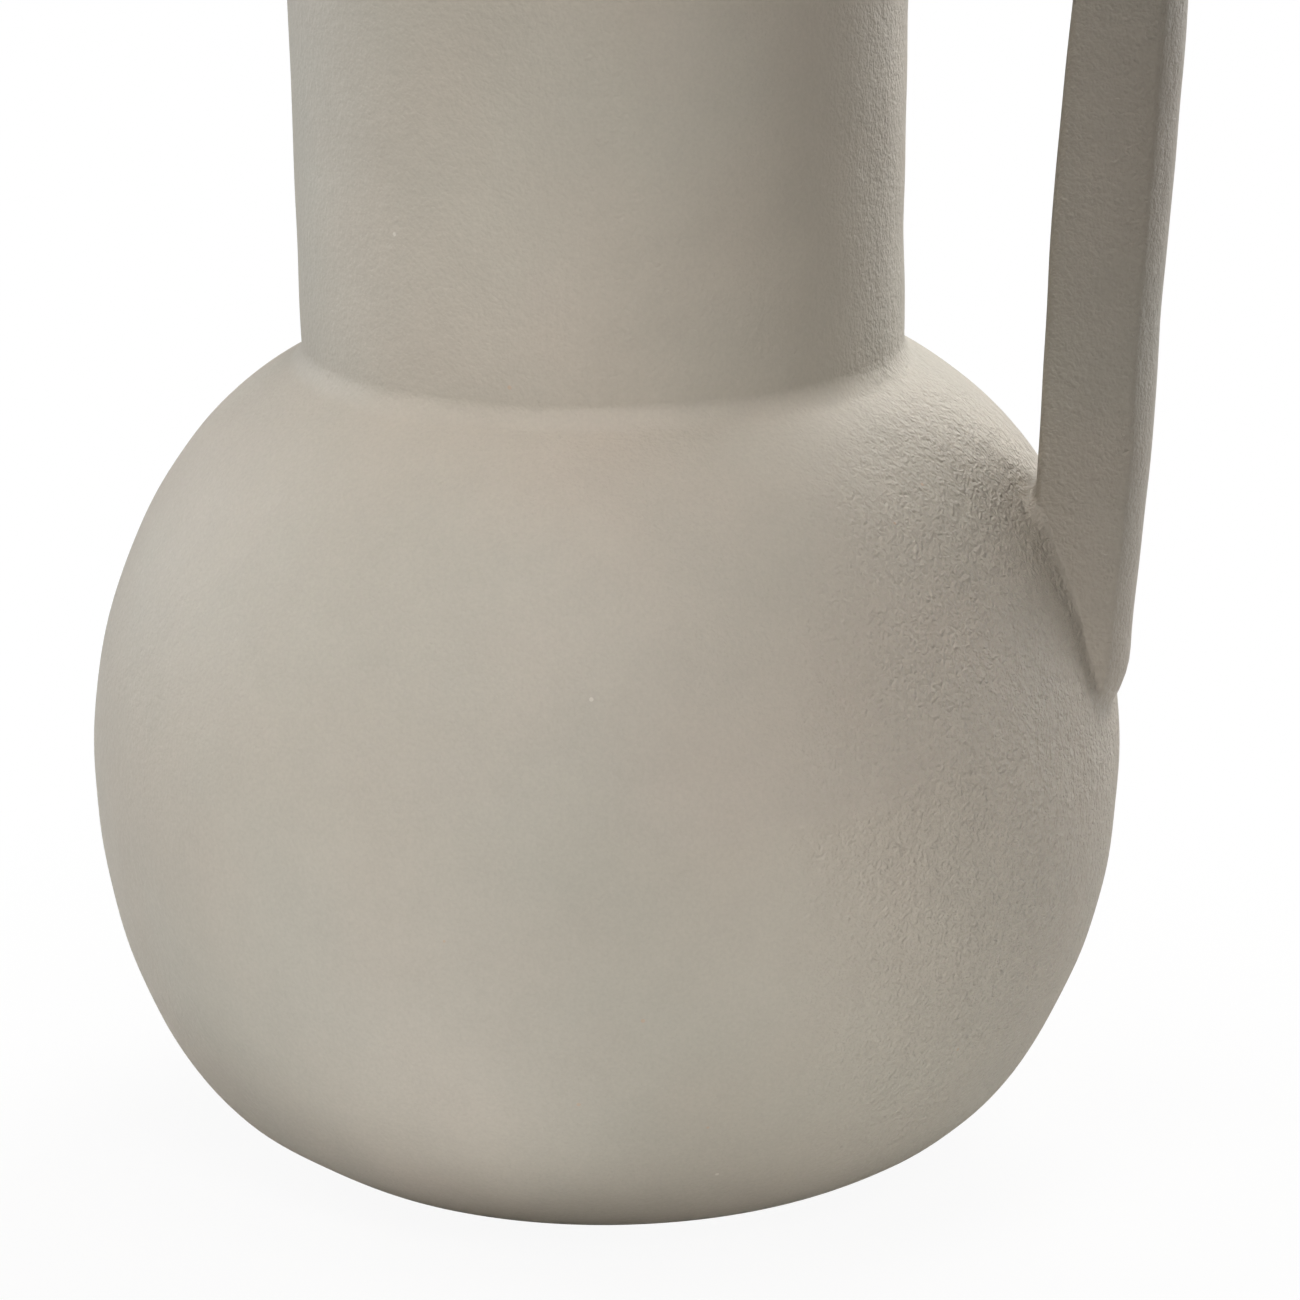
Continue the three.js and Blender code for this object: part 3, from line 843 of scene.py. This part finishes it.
# the handle's clay is darkened by its painted shade
handleClay = clayMaterial("matte_clay_handle_painted_shade", clayLook, handleLook["paintedShade"], clayLook["handleRelief"])
slipClay = clayMaterial("matte_clay_slip_painted_shade", clayLook, toned=True)
glazeSkin = glazeMaterial("satin_glaze", glazeLook)

for obj, material, slotName, node in (
    (belly, footClay, "body", "belly"),
    (neck, clay, "neck", "neck"),
    (handle, handleClay, "handle", "handle"),
    (neckSeam, clay, "slip", "neck_seam"),
    (lowerSeam, slipClay, "slip", "handle_lower_seam"),
    (upperSeam, slipClay, "slip", "handle_upper_seam"),
    (glaze, glazeSkin, "glaze", "glaze_lining"),
):
    obj.data.materials.append(material)
    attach(obj, "root")
    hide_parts(node)
print("materials set")


# Camera at the photograph's angle

cameraLook = {
    "azimuth": 13.0,                 # degrees round from looking along +Y
    "elevation": 16.04,
    "distance": 1.583,               # to the middle of the belly's widest circle
    "lens": 235.6,
    "sensor": 36.0,
    "roll": -0.63,                   # degrees
    "framePixels": 1300,
    "bellyPixel": (606.0, 742.5),    # where the middle of the widest circle shows before the roll
    "clip": (0.05, 20),
}


# The camera stands back from the middle of the belly's widest circle and is turned, without any
# shift, so that this point shows at its pixel. Then it is rolled about its own line of sight.
def makeCamera(look):
    azimuth, elevation = math.radians(look["azimuth"]), math.radians(look["elevation"])
    target = Vector((0, 0, widestHeight))
    level = math.cos(elevation)
    back = Vector((math.sin(azimuth) * level, -math.cos(azimuth) * level, math.sin(elevation)))
    right = Vector((math.cos(azimuth), math.sin(azimuth), 0))
    up = back.cross(right)
    focal = look["lens"] / look["sensor"] * look["framePixels"]
    half = look["framePixels"] / 2
    aside = (look["bellyPixel"][0] - half) / focal
    above = (half - look["bellyPixel"][1]) / focal
    forward = (-back - aside * right - above * up).normalized()
    right = (right - right.dot(forward) * forward).normalized()
    up = right.cross(forward)
    roll = math.radians(look["roll"])
    tiltedRight = math.cos(roll) * right + math.sin(roll) * up
    tiltedUp = math.cos(roll) * up - math.sin(roll) * right
    data = bpy.data.cameras.new("photo_camera")
    data.lens, data.sensor_width, data.sensor_fit = look["lens"], look["sensor"], "HORIZONTAL"
    data.clip_start, data.clip_end = look["clip"]
    camera = bpy.data.objects.new("photo_camera", data)
    bpy.context.scene.collection.objects.link(camera)
    turn = Matrix((tiltedRight, tiltedUp, -forward)).transposed().to_4x4()
    camera.matrix_world = Matrix.Translation(target + back * look["distance"]) @ turn
    bpy.context.scene.camera = camera


makeCamera(cameraLook)
print("camera set")


# Floor, light and background

stageLook = {
    "floorSize": 6.0,
    "floorColour": (0.8, 0.79, 0.775, 1),
    "shadowShare": 0.07,             # how much of the floor's own shading shows to the camera
    "shadowReach": (0.1, 0.26),      # metres from the axis over which it fades out
    "warm": (1.0, 0.96, 0.93),
    "plain": (1.0, 1.0, 1.0),
    "cool": (0.93, 0.965, 1.0),
    # name, degrees round from the camera, distance, height, width, aim, spread in degrees, watts, tint
    "lamps": [
        ("above", 0, 0.25, 0.9, 0.3, (0, 0.13), 180, 1.7, "warm"),
        ("front", 10, 0.7, 0.55, 0.2, (-0.06, 0.12), 30, 0.08, "warm"),
        ("keyHigh", -20, 0.35, 0.4, 0.12, (-0.09, 0.12), 60, 0.06, "plain"),
        ("keyLow", -20, 0.35, 0.08, 0.12, (-0.09, 0.12), 60, 0.025, "cool"),
        ("lowRight", 20, 0.35, 0.06, 0.1, (0.05, 0.03), 45, 0.025, "plain"),
        ("floorGlow", -40, 0.26, 0.004, 0.28, None, 180, 0.24, "cool"),
        ("sideRight", 115, 0.55, 0.2, 0.4, (0, 0.13), 180, 0.6, "plain"),
        ("backRight", 134, 0.55, 0.28, 0.4, (0, 0.13), 180, 0.8, "plain"),
        ("backRightHigh", 140, 0.42, 0.62, 0.4, (0, 0.13), 180, 3.0, "plain"),
        ("backLeft", -115, 0.55, 0.28, 0.4, (0, 0.13), 180, 1.6, "cool"),
    ],
}


# The floor is plain and pale to the light. The camera sees it white, but for a share of its own
# shading near the vase, which fades out with the distance from the axis.
def makeFloor(look):
    half = look["floorSize"] / 2
    corners = [(-half, -half, 0), (half, -half, 0), (half, half, 0), (-half, half, 0)]
    mesh = bpy.data.meshes.new("floor")
    mesh.from_pydata(corners, [], [(0, 1, 2, 3)])
    floor = bpy.data.objects.new("floor", mesh)
    bpy.context.scene.collection.objects.link(floor)
    material = bpy.data.materials.new("pale_floor")
    material.use_nodes = True
    tree = material.node_tree
    tree.nodes.remove(tree.nodes["Principled BSDF"])
    diffuse = addNode(tree, "ShaderNodeBsdfDiffuse", {"Color": look["floorColour"]})
    glow = addNode(tree, "ShaderNodeEmission", {"Color": (1, 1, 1, 1), "Strength": 1.0})
    path = tree.nodes.new("ShaderNodeLightPath")
    coords = tree.nodes.new("ShaderNodeTexCoord").outputs["Object"]
    away = addNode(tree, "ShaderNodeVectorMath", {"operation": "LENGTH"})
    tree.links.new(coords, away.inputs[0])
    near, far = look["shadowReach"]
    white = remap(tree, away.outputs["Value"], near, far, 1 - look["shadowShare"], 1)
    share = combine(tree, "MULTIPLY", path.outputs["Is Camera Ray"], white)
    mixed = tree.nodes.new("ShaderNodeMixShader")
    tree.links.new(share, mixed.inputs[0])
    tree.links.new(diffuse.outputs[0], mixed.inputs[1])
    tree.links.new(glow.outputs[0], mixed.inputs[2])
    tree.links.new(mixed.outputs[0], tree.nodes["Material Output"].inputs["Surface"])
    mesh.materials.append(material)


# The world shows white to the camera, in gloss and through glass, and gives no diffuse light.
def makeWorld():
    world = bpy.data.worlds.new("white_room")
    world.use_nodes = True
    bpy.context.scene.world = world
    tree = world.node_tree
    path = tree.nodes.new("ShaderNodeLightPath")
    seen = combine(tree, "MAXIMUM", path.outputs["Is Camera Ray"], path.outputs["Is Glossy Ray"])
    seen = combine(tree, "MAXIMUM", seen, path.outputs["Is Transmission Ray"])
    tree.links.new(seen, tree.nodes["Background"].inputs["Strength"])
    tree.nodes["Background"].inputs["Color"].default_value = (1, 1, 1, 1)


# Soft boxes round the vase, each aimed at a point given by its place to the right and its height.
# One without an aim lies on the floor and shines up. None shows in a picture.
def makeLamps(look):
    toRight = math.radians(cameraLook["azimuth"])
    right = Vector((math.cos(toRight), math.sin(toRight), 0))
    for name, azimuth, distance, height, width, aim, spread, watts, tint in look["lamps"]:
        a = toRight + math.radians(azimuth)
        place = Vector((math.sin(a) * distance, -math.cos(a) * distance, height))
        away = Vector((0, 0, -1))
        if aim is not None:
            away = (place - right * aim[0] - Vector((0, 0, aim[1]))).normalized()
        data = bpy.data.lights.new(name, "AREA")
        data.shape, data.size, data.energy, data.color = "SQUARE", width, watts, look[tint]
        data.spread = math.radians(spread)
        lamp = bpy.data.objects.new(name, data)
        lamp.location = place
        lamp.rotation_mode = "QUATERNION"
        lamp.rotation_quaternion = away.to_track_quat("Z", "Y")
        lamp.visible_camera = False
        bpy.context.scene.collection.objects.link(lamp)


makeFloor(stageLook)
makeWorld()
makeLamps(stageLook)
bpy.context.scene.view_settings.view_transform = "Standard"
print("stage set")
